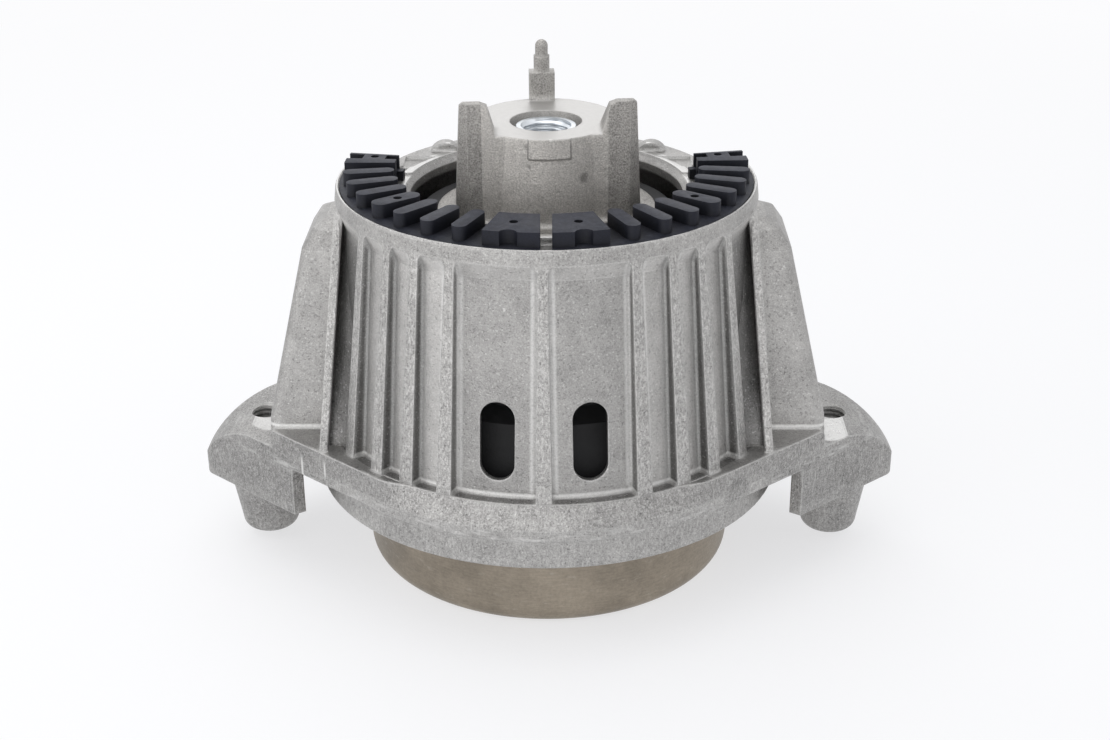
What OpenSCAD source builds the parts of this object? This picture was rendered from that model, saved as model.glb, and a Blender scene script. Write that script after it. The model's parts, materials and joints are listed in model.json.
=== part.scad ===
// Hydraulic engine mount: a ribbed cast housing bolts down through two ears, and a cast
// core hung in a rubber spring carries the engine bracket between its two lugs.
// Origin: on the axis, at the underside of the pan. The wide front windows face -Y.

/* [Housing] */
// Height of the rim above the underside of the pan
rim_z = 113; // [105:0.5:125]
// Outer radius of the rim
rim_r = 58.5; // [56:0.5:64]
// Height of the smooth band between the rim and the grooves
band_h = 4; // [3:0.5:8]
// Depth of the grooves just under the band
groove_top_d = 1.6; // [0.8:0.1:3]
// Depth of the grooves where they meet the flange
groove_low_d = 3.5; // [2:0.1:5]
// Thickness of the cast wall behind the grooves
wall_t = 4.6; // [3:0.1:6]
// Inner radius of the collar round the opening
collar_in_r = 38; // [37.5:0.5:39]
// Width of the collar's top
collar_w = 4; // [3:0.1:5]
// How far the collar's top lies under the rim
collar_drop = 2.6; // [2:0.1:4]
// Height of the collar's inner face
collar_h = 4; // [3:0.5:6]
// Size of the bevel on the collar's inner edge
collar_bevel = 1.5; // [0.5:0.1:2]
// How far the seat of the stop ring lies under the rim
deck_drop = 4.5; // [3:0.5:6]
// Thickness of the roof under that seat
roof_t = 5; // [3:0.5:8]
// Where the seat ends behind the axis
seat_back_y = 16; // [15:0.5:24]

/* [Rear of the roof] */
// Outer radius of the raised rear part of the roof
rear_r = 51; // [49:0.5:54]
// How far it lies under the rim
rear_drop = 2; // [1:0.5:3]
// Where it begins beside the opening, behind the axis
rear_from_y = 9.5; // [8:0.5:12]
// Radius of its outer edge
rear_round = 2; // [0.5:0.5:3]
// Depth of the sunk panel on each side
panel_d = 0.8; // [0.4:0.1:1.5]
// Width of the plain margin between a panel and the opening
panel_margin = 2.8; // [2:0.1:4]
// Where a panel ends to the side
panel_x = 41.5; // [39:0.5:44]
// Where a panel ends to the rear
panel_y = 24.5; // [22:0.5:27]
// Distance of each rear knob from the middle
knob_x = 30.4; // [28:0.1:33]
// Where the knobs' front faces lie behind the axis
knob_y = 29.5; // [29:0.5:33]
// Radius of a knob's rounded top
knob_r = 5; // [4:0.1:6]
// Height of the knobs above the rim
knob_rise = 0.5; // [0:0.1:2]
// Length of a knob from front to rear
knob_len = 4; // [3:0.5:8]

/* [Ribs] */
// Angles of the side ribs from the front
rib_angles = [23.6, 34, 43.5, 54.6]; // [20:0.1:60]
// Width of a rib under the band
rib_top_w = 2.6; // [1.5:0.1:4]
// Width of a rib at the flange
rib_low_w = 4.3; // [3:0.1:6]
// Radius where a rib runs into the band
rib_fillet_r = 2.6; // [1:0.1:4]
// Distance of the outermost fin's foot from the middle
fin_low_x = 61.5; // [60:0.1:63]
// Distance of that fin's top from the middle
fin_top_x = 55.9; // [54:0.1:57]
// How far in front of the axis the fin's foot reaches
fin_low_y = 36.5; // [30:0.5:37]
// How far in front of the axis the fin's top stands
fin_top_y = 18.5; // [16:0.5:22]
// Width of the fin
fin_w = 2.4; // [1.5:0.1:4]

/* [Windows] */
// Angle of each window from the front
window_angle = 11.4; // [10:0.1:14]
// Width of a window
window_w = 9.3; // [6:0.1:11]
// Height of a window
window_h = 21.8; // [14:0.1:26]
// Height of the windows' centre above the flange
window_rise = 15.4; // [14:0.1:20]
// Thickness of the wall's edge round a window
window_lip = 1.6; // [1:0.1:3]
// Width of the hollow round each window, on the inside
window_margin = 2.5; // [1:0.1:3]

/* [Flange] */
// Outer radius of the flange
flange_r = 69; // [68:0.5:72]
// Height of the flange's top face
flange_top_z = 45.5; // [44:0.5:48]
// How much the flange widens from its top face down to its upright band
flange_flare = 2.7; // [1:0.1:4]
// Height of that upright band
flange_band_h = 3.2; // [2:0.1:6]
// Height of the flange's lower edge, where the thinner skirt begins
flange_low_z = 35.8; // [33:0.1:38]
// Outer radius of the skirt under the flange
skirt_r = 67.2; // [64:0.1:68]
// Height of the skirt's lower edge
skirt_low_z = 27; // [24:0.5:30]
// Thickness of the lip that is rolled under the pan's rim
lip_t = 2; // [1.5:0.1:3]

/* [Ears] */
// Distance of each threaded hole from the axis
hole_x = 83.7; // [80:0.1:90]
// Radius of the threaded hole, for an M10 thread
hole_r = 4.25; // [3.3:0.05:5.2]
// Depth of the threaded hole
hole_depth = 28; // [20:1:32]
// Height of the machined seat round the hole
seat_z = 40.1; // [37:0.1:42]
// Width of the machined seat
seat_w = 7.4; // [6:0.1:10]
// How deep the seat is cut into the top of the ear
seat_d = 0.4; // [0.2:0.1:1]
// Distance of the ear's tip from the axis
ear_tip_x = 102.4; // [98:0.1:110]
// Radius of the ear's nose in plan
nose_r = 5; // [3:0.5:8]
// Height of the ear's underside
ear_low_z = 21; // [18:0.5:23]
// Radius of the clear space between the thick parts of the ears
ear_in_r = 74.2; // [73:0.1:75]
// Where the front of the ear's thick part ends
ear_corner_x = 72.3; // [71:0.1:74]
// Angle of the facet that ends it
ear_corner_angle = 56; // [50:0.5:62]
// Radius of the rounded top of the ear, seen from the front
ear_dome_r = 22; // [20:0.5:26]
// How far the boss's axis lies outside the hole's axis
boss_out = 1; // [0:0.1:2]
// Radius of the boss where it leaves the ear
boss_r = 11; // [9:0.1:12]
// Radius of the boss at its foot
boss_low_r = 8.4; // [7:0.1:10]
// Height of the boss's foot above the underside of the pan
boss_low_z = 2.5; // [1:0.5:6]
// Radius round the boss's foot
boss_round = 3.4; // [1:0.1:5]

/* [Buttresses] */
// Distance of the buttress's outer face from the axis at the flange
buttress_low_x = 80.6; // [77:0.1:82]
// Distance of the buttress's outer face from the axis at its top
buttress_top_x = 66; // [62:0.5:70]
// How far the buttress's top lies under the rim
buttress_drop = 9.5; // [6:0.5:14]
// Half width of the buttress at the flange
buttress_low_y = 22.6; // [18:0.1:24]
// Half width of the buttress near its top
buttress_top_y = 15.5; // [12:0.5:18]
// Half width of the rounded top itself
buttress_cap_y = 8; // [6:0.5:10]
// Radius of the buttress's outer edges
buttress_round = 3.5; // [2:0.1:6]

/* [Core] */
// Height of the core's machined top face
core_top_z = 129; // [122:0.5:136]
// How far the core sits turned in the housing
core_turn = 4; // [-6:0.5:6]
// Radius of the core's neck at its top face
neck_top_r = 20; // [19:0.1:22]
// Radius of the core's neck at its disc
neck_low_r = 21; // [19.5:0.1:24]
// How far the neck stands behind the axis
neck_y = 2.4; // [0:0.1:4]
// Radius of the core's disc
disc_r = 30.5; // [28:0.5:33]
// Height of the disc's top face
disc_z = 104.5; // [100:0.5:107]
// Thickness of the disc
disc_t = 4; // [3:0.5:6]
// Radius of the core's lower end
core_foot_r = 14; // [13:0.5:18]
// Height of the core's lower end
core_foot_z = 62; // [56:0.5:70]
// Height of the lugs above the top face
lug_h = 9.1; // [6:0.1:14]
// Distance of a lug's inner foot from the axis
lug_in_x = 14.4; // [12:0.1:16]
// How much a lug narrows from its inner foot to its top
lug_slant = 2; // [0:0.1:3]
// Distance of a lug's outer face from the axis at its top
lug_out_x = 23.8; // [23:0.1:26]
// How much the lug widens outwards down to the disc
lug_flare = 1.6; // [0:0.1:3]
// Where the lugs' front faces lie in front of the axis
lug_front_y = 14; // [10:0.5:16]
// Thickness of a lug at its top, from front to rear
lug_top_t = 2.6; // [2:0.1:8]
// Where a lug's sloping back meets the top face
lug_mid_y = -4; // [-8:0.5:8]
// Where a lug ends behind the axis, down at the disc
lug_back_y = 8; // [4:0.5:14]
// Size of the corner cut off the front of each lug
lug_corner = 3.5; // [1:0.1:5]
// Width of the locating tab behind the bore
tab_w = 7.2; // [5:0.1:9]
// Thickness of the locating tab
tab_t = 4.6; // [3:0.1:6]
// Height of the tab above the top face
tab_h = 8.1; // [6:0.1:14]
// Length of the pin on the tab
pin_len = 9; // [6:0.5:14]
// Radius of the pin's lower half
pin_r = 2.25; // [1.5:0.05:2.8]
// Radius of the pin's upper half
pin_tip_r = 1.8; // [1:0.05:2.2]
// Width of the small panel raised on the neck's front
pad_w = 11.5; // [8:0.5:14]
// Height of that panel
pad_h = 5.6; // [4:0.1:8]
// How far that panel stands out
pad_d = 0.4; // [0.3:0.1:1]

/* [Bush] */
// Outer radius of the steel bush
bush_r = 8.6; // [8:0.1:9.4]
// Radius of the threaded bore in the bush, for an M14 fine thread
bush_bore_r = 6.2; // [5.1:0.05:6.6]
// Length of the bush
bush_len = 40; // [30:1:42]
// How far the bush lies under the core's top face
bush_drop = 1.2; // [0.5:0.1:3]
// Radius of the clearance turned round the bush's head
relief_r = 9.9; // [9.6:0.1:10.6]

/* [Rubber spring] */
// Outer radius of the rubber collar round the core's disc
snub_r = 36.4; // [34:0.1:37]
// Height of the rubber collar's top under the disc's top face
snub_drop = 1; // [0.5:0.1:3]
// Gap between the rubber's foot and the wall round it
spring_gap = 1.8; // [1:0.1:3]
// Height above the flange of the rubber's shoulder behind the windows
shelf_rise = 16; // [12:0.5:18]
// How far that shoulder lies inside the rubber's foot
shelf_in = 3.1; // [2:0.1:5]

/* [Stop ring] */
// Height of the stop blocks above the rim
block_rise = 4; // [2:0.5:6]
// Height of the ring's base above the rim
base_rise = 0.3; // [0:0.1:1]
// How far the ring sits turned in its seat
ring_turn = 0.9; // [-2:0.1:1.5]
// How far the blocks end inside the edge of the ring
block_margin = 1.2; // [0.8:0.1:3]
// Width of a narrow block
block_w = 4.1; // [3:0.1:5.5]
// Angle of the first narrow block from the front
block_start = 23.7; // [22:0.1:26]
// Angle between the narrow blocks
block_step = 9.85; // [8:0.05:11]
// Number of narrow blocks on each half
block_count = 7; // [5:1:7]
// Half of the gap between the two halves at the front
front_gap = 1.5; // [0.5:0.1:4]
// Angle where each half ends behind
ring_end_angle = 100.5; // [99:0.5:102]
// Radius on which the small holes lie
pip_ring_r = 48.6; // [47:0.1:51]
// Radius of the small holes
pip_r = 1.15; // [0.6:0.05:1.6]
// Depth of the small holes
pip_d = 2.5; // [1:0.5:3]
// How far the small nib at each end reaches inwards
nib_w = 1.6; // [1:0.1:2]

/* [Pan] */
// Outer radius of the pan's wall
pan_r = 53.5; // [50:0.5:54]
// Thickness of the sheet
pan_t = 1.5; // [1:0.1:2]
// Radius where the wall meets the bottom
pan_round = 5; // [3:0.5:8]
// Width of the clamped rim round the pan
pan_rim_w = 6.5; // [6:0.1:7]

/* [Fluid parts] */
// Thickness of the ring that holds the rubber spring
ring_t = 3; // [2:0.1:4]
// Width of that ring's inner shoulder
shoulder_w = 4; // [3:0.1:5]
// Thickness of the upper channel plate
upper_plate_t = 4; // [3.5:0.5:5]
// Thickness of the lower channel plate
lower_plate_t = 4; // [4:0.5:5]
// Radius of the loose rubber disc between the plates
decoupler_r = 24; // [18:0.5:28]
// Thickness of that disc
decoupler_t = 2.4; // [2:0.1:3]
// Radius of the ports over that disc
port_r = 3; // [1.5:0.1:4]
// Width of the fluid channel
channel_w = 6; // [4:0.5:8]
// Thickness of the rolling rubber wall
diaphragm_t = 1.4; // [1:0.1:2]
// Thickness of the diaphragm's clamping ring
clamp_t = 1.2; // [0.8:0.1:2]

/* [Hidden] */

$fn = 96;
eps = 0.01;
far = 200;

// The roof of the housing
seat_of_ring_z = rim_z - deck_drop;
roof_low_z = seat_of_ring_z - roof_t;
collar_z = rim_z - collar_drop;
collar_low_z = collar_z - collar_h;
collar_out_r = collar_in_r + collar_w;
roof_fillet = 4;
rim_w = 1;
rim_ease = 0.6;
rim_slope = 3;
rim_inner_r = rim_r - rim_w;
seat_out_r = rim_inner_r - rim_slope;
rear_z = rim_z - rear_drop;

// The groove floor and the rib faces run straight from the band to the flange
band_low_z = rim_z - band_h;
band_slope = 4.5;
draft = 0.4;
flange_top_r = flange_r - flange_flare;
wall_spread = 1;
rib_root = 2;
rib_top_r = rim_r + draft;
floor_top_r = rib_top_r - groove_top_d;
floor_low_r = flange_top_r - groove_low_d;
front_in_top_r = floor_top_r - wall_t;
rear_in_top_r = rear_r - wall_t - wall_spread;
wall_in_low_r = floor_low_r - wall_t - wall_spread;
window_z = flange_top_z + window_rise;

// The ears: straight sides run from just inside the flange to a small nose, the top is a dome
side_fit = 0.15;
side_r = flange_r - side_fit;
nose_x = ear_tip_x - nose_r;
side_angle = asin((side_r - nose_r) / nose_x);
ear_top_z = seat_z + seat_d;
dome_in = 1.5;
dome_x = hole_x - dome_in;
dome_z = ear_top_z - ear_dome_r;
seat_out_w = 2.3;
seat_out_x = hole_x + seat_out_w;
hole_ease = 0.8;
ledge_w = 3;
boss_root = 2;
ear_corner_y = (side_r - ear_corner_x * sin(side_angle)) / cos(side_angle);
boss_taper = (boss_r - boss_low_r) / (ear_low_z - boss_low_z);

// The buttress: outer faces lean in as they rise, the top is rounded off in steps
buttress_top_z = rim_z - buttress_drop;
buttress_lean = (buttress_low_x - buttress_top_x) / (buttress_top_z - seat_z);
buttress_root = 14;
buttress_in_x = floor_top_r - buttress_root;
shoulder_drop = 7;
cap_drop = 2;
cap_in = 1.5;
crown_in = 5;

// The stack of parts in the bore
rim_seat_z = skirt_low_z + lip_t;
pan_rim_z = rim_seat_z + pan_t;
clamp_top_z = pan_rim_z + clamp_t;
diaphragm_top_z = clamp_top_z + diaphragm_t;
plate_split_z = diaphragm_top_z + lower_plate_t;
plate_top_z = plate_split_z + upper_plate_t;
ring_sunk = 1.5;
ring_top_z = flange_top_z - ring_sunk;
bore_r = pan_r + pan_rim_w;
plate_r = bore_r - ring_t;
shoulder_r = plate_r - shoulder_w;
pan_play = 0.5;
lip_in_r = pan_r + pan_play;
pocket_play = 0.3;
pocket_h = decoupler_t + pocket_play;
pocket_gap = 1;
pocket_r = decoupler_r + pocket_gap;
channel_r = (pocket_r + shoulder_r) / 2;
channel_d = 2.5;
port_ring_r = decoupler_r * 0.6;
port_count = 6;

// The rolling rubber wall
roll_gap = 2.5;
roll_r = pan_r - pan_t - roll_gap;
fold_in = 8;
fold_r = roll_r - fold_in;
fold_w = 10;
fold_gap = 10;
fold_low_z = pan_t + fold_gap;
fold_rise = 4;

// The core
cone_top_z = disc_z - disc_t;
disc_edge = 2.5;
cone_top_r = disc_r - disc_edge;
bush_top_z = core_top_z - bush_drop;
bush_low_z = bush_top_z - bush_len;
bush_ease = 0.8;
relief_d = bush_drop + 1;
lug_top_z = core_top_z + lug_h;
lug_low_x = lug_out_x + lug_flare;
lug_ease = 1;
tab_y = neck_y + neck_top_r;
tab_top_z = core_top_z + tab_h;

// The rubber spring between core and ring
snub_z = disc_z - snub_drop;
snub_ease = 1;
waist_in = 0.6;
waist_r = snub_r - waist_in;
waist_drop = 10;
waist_z = cone_top_z - waist_drop;
foot_ease = 1;
foot_h = 6;
spring_foot_r = wall_in_low_r - spring_gap;
shelf_r = spring_foot_r - shelf_in;
shelf_z = flange_top_z + shelf_rise;
shelf_w = 7;
shelf_slope = 2;
hem_w = 4;
hem_t = 2;
spring_low_r = core_foot_r + hem_w;
spring_low_z = core_foot_z - hem_t;
hem_in = 2.5;
spring_in_r = shoulder_r - hem_in;
belly = 2;

// The stop ring
ring_fit = 0.1;
ring_in_r = collar_out_r + ring_fit;
ring_out_r = rim_inner_r - ring_fit;
block_out_r = ring_out_r - block_margin;
block_z = rim_z + block_rise;
base_z = rim_z + base_rise;
base_edge = 0.2;
base_slope_w = 2.5;
wide_block = 3;
wide_by = 0.9;
front_block_angle = 16.6;
front_pip_angle = 9.7;
rear_pip_angle = 97.8;
end_block_angle = 91;
end_block_span = 4.4;
base_end_angle = ring_end_angle - 0.3;
end_wall_angle = ring_end_angle - 1.2;
end_tail_w = 6.4;
nib_from_angle = ring_end_angle - 4.5;
nib_to_angle = ring_end_angle - 1;
notch_r = 2.4;
notch_out = 0.6;

function between(a, b, share) = a + (b - a) * share;

// A solid from a radius and height profile, turned round the axis
module turned(points) {
    rotate_extrude() polygon(points);
}

// A flat outline stood up so that it faces -Y, reaching from the axis to the given distance
module facing_front(reach) {
    rotate([90, 0, 0]) linear_extrude(height = reach) children();
}

// A flat outline stood up so that it faces +X, with its first axis along Y
module facing_side(reach) {
    rotate([90, 0, 90]) linear_extrude(height = reach) children();
}

module mirrored() {
    children();
    mirror([1, 0, 0]) children();
}

// What lies in front of the given Y
module before(y) {
    intersection() {
        children();
        translate([-far / 2, y - far, -far / 4]) cube(far);
    }
}

// What lies behind the given Y
module behind(y) {
    intersection() {
        children();
        translate([-far / 2, y, -far / 4]) cube(far);
    }
}

module front_blank() {
    turned([[0, flange_top_z], [0, seat_of_ring_z], [seat_out_r, seat_of_ring_z],
        [rim_inner_r, rim_z - rim_ease],
        [rim_inner_r + rim_ease / 2, rim_z], [rim_r - rim_ease / 2, rim_z], [rim_r, rim_z - rim_ease],
        [rib_top_r, band_low_z], [floor_top_r, band_low_z - band_slope], [floor_low_r, flange_top_z]]);
}

// The raised rear part of the roof and the plain wall under it
module rear_blank() {
    behind(seat_back_y) turned([[0, flange_top_z], [0, rear_z], [rear_r - rear_round, rear_z],
        [rear_r, rear_z - rear_round], [floor_low_r, flange_top_z]]);
    behind(rear_from_y) translate([0, 0, collar_low_z]) cylinder(r = collar_out_r,
        h = rear_z - collar_low_z);
    mirrored() translate([knob_x, knob_y + knob_len, rim_z + knob_rise - knob_r])
        facing_front(knob_len) circle(r = knob_r);
}

module collar() {
    turned([[0, collar_low_z], [0, collar_z], [collar_out_r, collar_z], [collar_out_r, collar_low_z]]);
}

// Outline of one rib with the curves that run into the band
module rib_outline() {
    flare_z = band_low_z - rib_fillet_r;
    flare_x = rib_top_w / 2 + rib_fillet_r;
    difference() {
        union() {
            polygon([[-rib_low_w / 2, flange_top_z - 1], [rib_low_w / 2, flange_top_z - 1],
                [rib_top_w / 2, band_low_z], [-rib_top_w / 2, band_low_z]]);
            translate([-flare_x, flare_z]) square([2 * flare_x, rib_fillet_r]);
        }
        for (side = [-1, 1]) translate([side * flare_x, flare_z]) circle(r = rib_fillet_r);
    }
}

module ribs() {
    intersection() {
        turned([[floor_top_r - rib_root, band_low_z], [rib_top_r, band_low_z],
            [flange_top_r + draft / 2, flange_top_z - 1], [floor_low_r - rib_root, flange_top_z - 1]]);
        union() {
            facing_front(far) rib_outline();
            mirrored() for (a = rib_angles) rotate([0, 0, a]) facing_front(far) rib_outline();
        }
    }
}

// The outermost fin on each side: upright, slanting out and forward down to the flange's edge
module fin() {
    low_z = flange_top_z - 1;
    intersection() {
        facing_front(far) polygon([[fin_low_x - fin_w / 2, low_z], [fin_low_x + fin_w / 2, low_z],
            [fin_top_x + fin_w / 2, band_low_z], [fin_top_x - fin_w / 2, band_low_z]]);
        facing_side(far) polygon([[-fin_low_y, low_z], [-fin_low_y, flange_top_z], [-fin_top_y, band_low_z],
            [-buttress_cap_y, band_low_z], [-buttress_cap_y, low_z]]);
    }
}

// Half of the plan of the flange with one ear
module ear_plan() {
    side_x = sin(side_angle);
    side_y = cos(side_angle);
    polygon([[side_r * side_x, side_r * side_y], [nose_x + nose_r * side_x, nose_r * side_y],
        [nose_x + nose_r * side_x, -nose_r * side_y], [side_r * side_x, -side_r * side_y], [0, 0]]);
    translate([nose_x, 0]) circle(r = nose_r);
}

module flange() {
    turned([[0, flange_low_z], [flange_r, flange_low_z], [flange_r, flange_low_z + flange_band_h],
        [flange_top_r, flange_top_z], [0, flange_top_z]]);
    translate([0, 0, skirt_low_z]) cylinder(r = skirt_r, h = flange_low_z - skirt_low_z + eps);
}

// Outline of an ear seen from the front: flat by the hole, then rounded down to the tip
module ear_front_outline() {
    polygon([[0, ear_low_z], [0, flange_top_z], [buttress_low_x - ledge_w, flange_top_z],
        [buttress_low_x, ear_top_z], [dome_x, ear_top_z], [dome_x, ear_low_z]]);
    intersection() {
        translate([dome_x, dome_z]) circle(r = ear_dome_r);
        translate([dome_x, ear_low_z]) square([far, far]);
    }
}

// Plan of the space left free under the flange, with the facet at the end of each ear's wall
module clear_plan() {
    circle(r = ear_in_r);
    for (side = [0, 1]) mirror([0, side]) translate([ear_corner_x, -ear_corner_y]) rotate(ear_corner_angle)
        translate([-far, -far / 2]) square([far, far]);
}

module ear() {
    difference() {
        union() {
            intersection() {
                translate([0, 0, ear_low_z]) linear_extrude(height = flange_top_z - ear_low_z) ear_plan();
                translate([0, flange_r, 0]) facing_front(2 * flange_r) ear_front_outline();
            }
            boss();
        }
        linear_extrude(height = flange_low_z) clear_plan();
    }
}

// Tapered boss with a rounded foot
module boss() {
    translate([hole_x + boss_out, 0, 0]) rotate_extrude() {
        polygon([[0, boss_low_z], [boss_low_r - boss_round, boss_low_z],
            [boss_low_r, boss_low_z + boss_round],
            [boss_r, ear_low_z], [boss_r, ear_low_z + boss_root], [0, ear_low_z + boss_root]]);
        intersection() {
            translate([boss_low_r - boss_round, boss_low_z + boss_round]) circle(r = boss_round);
            square([boss_low_r + boss_taper * boss_round, ear_low_z]);
        }
    }
}

// The machined seat, open to the front, and the threaded hole
module ear_cuts() {
    translate([hole_x, 0, seat_z - hole_depth]) cylinder(r = hole_r, h = far);
    translate([hole_x, 0, seat_z]) cylinder(r = hole_r + hole_ease, h = far);
    translate([seat_out_x - seat_w, -flange_r / 2, seat_z]) cube([seat_w, flange_r / 2, far]);
}

// One level of the buttress with rounded outer edges
module buttress_level(z, x, y) {
    translate([0, 0, z]) linear_extrude(height = eps) {
        for (side = [-1, 1]) translate([x - buttress_round, side * (y - buttress_round)])
            circle(r = buttress_round, $fn = 32);
        translate([buttress_in_x, -y]) square([rim_w, 2 * y]);
    }
}

module buttress() {
    hull() {
        buttress_level(seat_z, buttress_low_x, buttress_low_y);
        buttress_level(buttress_top_z - shoulder_drop, buttress_top_x + shoulder_drop * buttress_lean,
            buttress_top_y);
        buttress_level(buttress_top_z - cap_drop, buttress_top_x - cap_in,
            (buttress_top_y + buttress_cap_y) / 2);
        buttress_level(buttress_top_z, buttress_top_x - crown_in, buttress_cap_y);
    }
}

// The windows' outline, widened by the given margin and pushed out through the wall
module windows(margin) {
    r = window_w / 2 + margin;
    run = (window_h - window_w) / 2;
    mirrored() rotate([0, 0, window_angle]) facing_front(far) {
        for (side = [-1, 1]) translate([0, window_z + side * run]) circle(r = r);
        translate([-r, window_z - run]) square([2 * r, 2 * run]);
    }
}

// The hollow round the windows, which leaves only a thin edge of the wall
module window_hollows() {
    intersection() {
        turned([[0, flange_top_z], [0, band_low_z], [floor_top_r - window_lip, band_low_z],
            [floor_low_r - window_lip, flange_top_z]]);
        windows(window_margin);
    }
}

// The space inside the wall, whose radius under the roof is given
module wall_space(top_r) {
    turned([[0, flange_top_z - eps], [0, collar_low_z], [collar_out_r, collar_low_z],
        [collar_out_r + roof_fillet, roof_low_z], [top_r, roof_low_z],
        [wall_in_low_r, flange_top_z - eps]]);
}

module cavity() {
    before(seat_back_y - wall_t) wall_space(front_in_top_r);
    wall_space(rear_in_top_r);
    turned([[0, collar_low_z - eps], [0, far], [collar_in_r + collar_bevel, far],
        [collar_in_r + collar_bevel, collar_z], [collar_in_r, collar_z - collar_bevel],
        [collar_in_r, collar_low_z - eps]]);
    turned([[0, rim_seat_z], [bore_r, rim_seat_z], [bore_r, ring_top_z], [wall_in_low_r, ring_top_z + 1],
        [wall_in_low_r, flange_top_z + eps], [0, flange_top_z + eps]]);
    cylinder(r = lip_in_r, h = rim_seat_z + eps);
}

// The shallow panels sunk in the rear part of the roof
module rear_panels() {
    behind(seat_back_y - 1) difference() {
        translate([-panel_x, 0, rear_z - panel_d]) cube([2 * panel_x, panel_y, far]);
        cylinder(r = collar_in_r + panel_margin, h = far);
    }
}

module housing() {
    color([0.68, 0.68, 0.67]) difference() {
        union() {
            before(seat_back_y) front_blank();
            before(seat_back_y) ribs();
            mirrored() fin();
            rear_blank();
            collar();
            flange();
            mirrored() {
                ear();
                buttress();
            }
        }
        cavity();
        rear_panels();
        windows(0);
        window_hollows();
        mirrored() ear_cuts();
    }
}

module lug() {
    top_in_x = lug_in_x + lug_slant;
    intersection() {
        translate([0, lug_back_y, 0]) facing_front(lug_back_y + lug_front_y) polygon([
            [0, cone_top_z + 1], [lug_low_x, cone_top_z + 1], [lug_low_x, disc_z],
            [lug_out_x, lug_top_z - lug_ease],
            [lug_out_x - lug_ease, lug_top_z], [top_in_x + 2 * lug_ease, lug_top_z],
            [top_in_x, lug_top_z - lug_ease], [lug_in_x, core_top_z], [0, core_top_z]]);
        linear_extrude(height = far) polygon([[0, -lug_front_y], [lug_low_x - lug_corner, -lug_front_y],
            [lug_low_x, lug_corner - lug_front_y], [lug_low_x, lug_back_y], [0, lug_back_y]]);
        facing_side(far) polygon([[-lug_front_y, disc_z - disc_t], [-lug_front_y, lug_top_z],
            [lug_top_t - lug_front_y, lug_top_z], [lug_mid_y, core_top_z], [lug_back_y, disc_z],
            [lug_back_y, disc_z - disc_t]]);
    }
}

// The upright tab with its pin, which thins halfway and ends round
module tab() {
    translate([-tab_w / 2, tab_y - tab_t / 2, disc_z - 1]) cube([tab_w, tab_t, tab_top_z - disc_z + 1]);
    translate([0, tab_y, tab_top_z - eps]) {
        cylinder(r = pin_r, h = pin_len / 2);
        cylinder(r = pin_tip_r, h = pin_len - pin_tip_r);
        translate([0, 0, pin_len - pin_tip_r]) sphere(r = pin_tip_r);
    }
}

// The small panel raised on the neck's front, curved like the neck
module pad() {
    intersection() {
        translate([0, neck_y, disc_z]) cylinder(r1 = neck_low_r + pad_d, r2 = neck_top_r + pad_d,
            h = core_top_z - disc_z);
        translate([-pad_w / 2, -far, core_top_z - pad_h]) cube([pad_w, far, pad_h]);
    }
}

module inner_core() {
    color([0.6, 0.58, 0.56]) rotate([0, 0, core_turn]) difference() {
        union() {
            translate([0, neck_y, disc_z - eps])
                cylinder(r1 = neck_low_r, r2 = neck_top_r, h = core_top_z - disc_z + eps);
            turned([[0, core_foot_z], [core_foot_r, core_foot_z], [cone_top_r, cone_top_z],
                [disc_r, cone_top_z],
                [disc_r, disc_z], [0, disc_z]]);
            mirrored() lug();
            tab();
            pad();
        }
        translate([0, 0, bush_low_z]) cylinder(r = bush_r, h = far);
        translate([0, 0, core_top_z - relief_d]) cylinder(r = relief_r, h = far);
    }
}

module core_bush() {
    color([0.78, 0.81, 0.84]) turned([[bush_bore_r, bush_low_z], [bush_r, bush_low_z],
        [bush_r, bush_top_z - bush_ease / 2], [bush_r - bush_ease / 2, bush_top_z],
        [bush_bore_r + bush_ease, bush_top_z], [bush_bore_r, bush_top_z - bush_ease]]);
}

module main_spring() {
    foot_r = spring_foot_r - foot_ease;
    foot_z = ring_top_z + foot_h;
    color([0.12, 0.12, 0.13]) turned([
        [core_foot_r, core_foot_z], [cone_top_r, cone_top_z], [disc_r, cone_top_z], [disc_r, snub_z],
        [snub_r - snub_ease, snub_z], [snub_r, snub_z - snub_ease], [snub_r, cone_top_z - snub_ease],
        [waist_r, waist_z], [shelf_r - shelf_w, shelf_z + shelf_slope], [shelf_r, shelf_z],
        [foot_r, foot_z],
        [spring_foot_r, ring_top_z + foot_ease], [spring_foot_r, ring_top_z], [shoulder_r, ring_top_z],
        [shoulder_r, plate_top_z], [spring_in_r, plate_top_z],
        [between(spring_in_r, spring_low_r, 0.6), between(plate_top_z, spring_low_z, 0.6) + belly],
        [spring_low_r, spring_low_z], [core_foot_r, spring_low_z]]);
}

module spring_ring() {
    color([0.55, 0.56, 0.58]) turned([[plate_r, pan_rim_z], [bore_r, pan_rim_z], [bore_r, ring_top_z],
        [shoulder_r, ring_top_z], [shoulder_r, plate_top_z], [plate_r, plate_top_z]]);
}

// One straight stop block with round ends, along its own radius
module stop_block(width) {
    end_r = width / 2;
    for (r = [ring_in_r + end_r, block_out_r - end_r]) translate([0, -r]) circle(r = end_r);
    translate([-end_r, end_r - block_out_r]) square([width, block_out_r - ring_in_r - width]);
}

// Plan of the piece of a ring between two angles from the front
module sector(in_r, out_r, from, to) {
    reach = 2 * out_r;
    middle = (from + to) / 2;
    intersection() {
        difference() {
            circle(r = out_r);
            circle(r = in_r);
        }
        polygon([[0, 0], [reach * sin(from), -reach * cos(from)],
            [reach * sin(middle), -reach * cos(middle)],
            [reach * sin(to), -reach * cos(to)]]);
    }
}

module pip(angle) {
    rotate([0, 0, angle]) translate([0, -pip_ring_r, block_z - pip_d]) cylinder(r = pip_r, h = far);
}

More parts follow.
